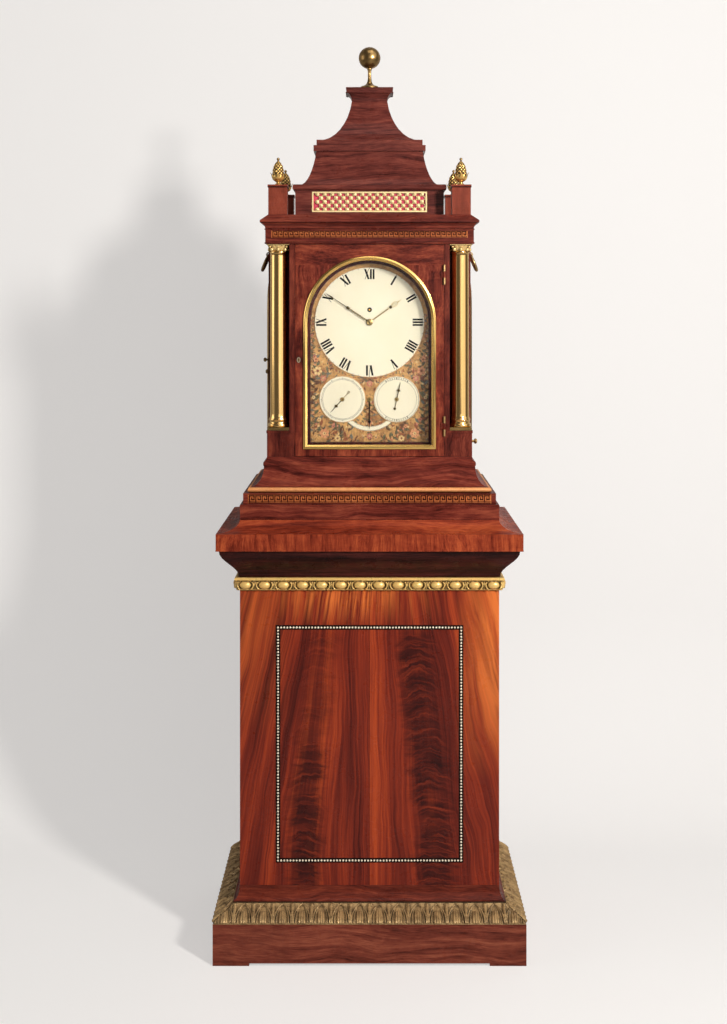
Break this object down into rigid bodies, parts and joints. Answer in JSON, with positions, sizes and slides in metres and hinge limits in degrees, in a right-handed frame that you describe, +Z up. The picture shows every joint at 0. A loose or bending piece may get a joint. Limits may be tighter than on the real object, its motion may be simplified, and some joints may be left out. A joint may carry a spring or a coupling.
{
  "type": "musical bracket clock on pedestal",
  "caption": "Mahogany musical bracket clock with pagoda top, brass columns, painted arch dial and pinned-barrel bell movement, standing on a matching pedestal.",
  "frame": {"origin": "on the floor under the middle of the plinth, at the centre of the bounding box in X and Y", "axes": "+X to the right as the dial is faced, +Y from the dial towards the flat back, +Z up"},
  "size_m": [0.601, 0.3902, 1.8035],
  "materials": {
    "mahogany": "french-polished flame veneer",
    "dark_mahogany": "dark polished mahogany",
    "gilt_wood": "aged gilding on carved wood",
    "brass": "lacquered and lightly aged",
    "bell_metal": "turned",
    "enamel": "cream enamel dial",
    "painted_metal": "painted floral ground",
    "blued_steel": "dark pierced steel",
    "silk": "crimson silk backing",
    "glass": "flat pane"
  },
  "bodies": {
    "case": {"ball_finial": "brass", "base_gilt_strip": "brass", "bell_nest": "bell_metal", "case_back_frame": "mahogany", "case_side_left": "mahogany", "case_side_right": "mahogany", "clock_base": "mahogany", "column_left": "brass", "column_right": "brass", "corner_post_left": "mahogany", "corner_post_right": "mahogany", "dial_mask": "dark_mahogany", "dial_plate": "painted_metal", "entablature": "mahogany", "finial_back_left": "brass", "finial_back_right": "brass", "finial_front_left": "brass", "finial_front_right": "brass", "front_hinge_lower": "brass", "front_hinge_upper": "brass", "handle_boss_left": "brass", "handle_boss_right": "brass", "main_dial": "enamel", "movement_frame": "brass", "pagoda_fret": "brass", "pagoda_frieze": "mahogany", "pagoda_lower_stage": "mahogany", "pagoda_silk": "silk", "pagoda_upper_stage": "mahogany", "pedestal_bead_frame": "brass", "pedestal_carcass": "mahogany", "pedestal_cornice": "dark_mahogany", "pedestal_egg_moulding": "gilt_wood", "pedestal_front": "mahogany", "pedestal_leaf_moulding": "gilt_wood", "pedestal_plinth": "mahogany", "pedestal_skirting": "mahogany", "pedestal_top": "mahogany", "seat_board": "mahogany", "side_fret_left": "brass", "side_fret_right": "brass", "sub_dial_left": "enamel", "sub_dial_right": "enamel"},
    "front_door": {"door_frame": "mahogany", "door_bezel": "brass", "door_glass": "glass"},
    "back_door": {"back_door": "mahogany"},
    "hour_hand": {"hour_hand": "blued_steel"},
    "minute_hand": {"minute_hand": "blued_steel"},
    "regulation_hand": {"regulation_hand": "blued_steel"},
    "chime_hand": {"chime_hand": "blued_steel"},
    "tune_hand": {"tune_hand": "blued_steel"},
    "spring_barrel": {"spring_barrel": "brass"},
    "music_barrel": {"music_barrel": "brass"},
    "music_hammers": {"music_hammers": "brass"},
    "pendulum": {"pendulum": "brass"},
    "handle_left": {"handle_left": "brass"},
    "handle_right": {"handle_right": "brass"},
    "side_lever": {"side_lever": "brass"},
    "pull_knob": {"pull_knob": "brass"}
  },
  "joints": [
    {"name": "front_door_hinge", "type": "hinge", "parent": "case", "child": "front_door", "pos_m": [0.1479, -0.1008, 1.2314], "axis": [0, 0, 1], "range_deg": [0, 110]},
    {"name": "back_door_hinge", "type": "hinge", "parent": "case", "child": "back_door", "pos_m": [0.1389, 0.19, 1.2314], "axis": [0, 0, -1], "range_deg": [0, 110]},
    {"name": "spring_barrel_turn", "type": "hinge", "parent": "case", "child": "spring_barrel", "pos_m": [0, 0.0359, 1.2564], "axis": [0, -1, 0], "continuous": true},
    {"name": "minute_hand_turn", "type": "hinge", "parent": "case", "child": "minute_hand", "pos_m": [0, -0.0641, 1.2314], "axis": [0, 1, 0], "continuous": true},
    {"name": "hour_hand_turn", "type": "hinge", "parent": "case", "child": "hour_hand", "pos_m": [0, -0.0641, 1.2314], "axis": [0, 1, 0], "continuous": true},
    {"name": "regulation_hand_turn", "type": "hinge", "parent": "case", "child": "regulation_hand", "pos_m": [-0.0545, -0.0641, 1.0769], "axis": [0, 1, 0], "range_deg": [-140, 45]},
    {"name": "chime_hand_turn", "type": "hinge", "parent": "case", "child": "chime_hand", "pos_m": [0.0545, -0.0641, 1.0769], "axis": [0, 1, 0], "range_deg": [-30, 30]},
    {"name": "tune_hand_turn", "type": "hinge", "parent": "case", "child": "tune_hand", "pos_m": [0, -0.0641, 1.0769], "axis": [0, 1, 0], "range_deg": [-40, 40]},
    {"name": "music_barrel_turn", "type": "hinge", "parent": "case", "child": "music_barrel", "pos_m": [0, 0.1009, 1.1922], "axis": [1, 0, 0], "continuous": true},
    {"name": "music_hammers_lift", "type": "hinge", "parent": "case", "child": "music_hammers", "pos_m": [0, 0.1319, 1.2482], "axis": [1, 0, 0], "range_deg": [-12, 0], "stiffness_Nm_per_rad": 0.5},
    {"name": "pendulum_swing", "type": "hinge", "parent": "case", "child": "pendulum", "pos_m": [0, 0.0499, 1.3122], "axis": [0, 1, 0], "range_deg": [-4, 4]},
    {"name": "handle_left_swing", "type": "hinge", "parent": "case", "child": "handle_left", "pos_m": [-0.2114, 0.077, 1.3719], "axis": [0, 1, 0], "range_deg": [0, 70]},
    {"name": "handle_right_swing", "type": "hinge", "parent": "case", "child": "handle_right", "pos_m": [0.2114, 0.077, 1.3719], "axis": [0, -1, 0], "range_deg": [0, 70]},
    {"name": "side_lever_turn", "type": "hinge", "parent": "case", "child": "side_lever", "pos_m": [-0.2033, -0.0191, 1.1309], "axis": [1, 0, 0], "range_deg": [-20, 20]},
    {"name": "pull_knob_slide", "type": "slide", "parent": "case", "child": "pull_knob", "axis": [1, 0, 0], "range_m": [0, 0.008], "stiffness_N_per_m": 200}
  ],
  "couplings": [
    {"joint": "minute_hand_turn", "follows": "spring_barrel_turn", "ratio": 12},
    {"joint": "hour_hand_turn", "follows": "spring_barrel_turn", "ratio": 1}
  ]
}
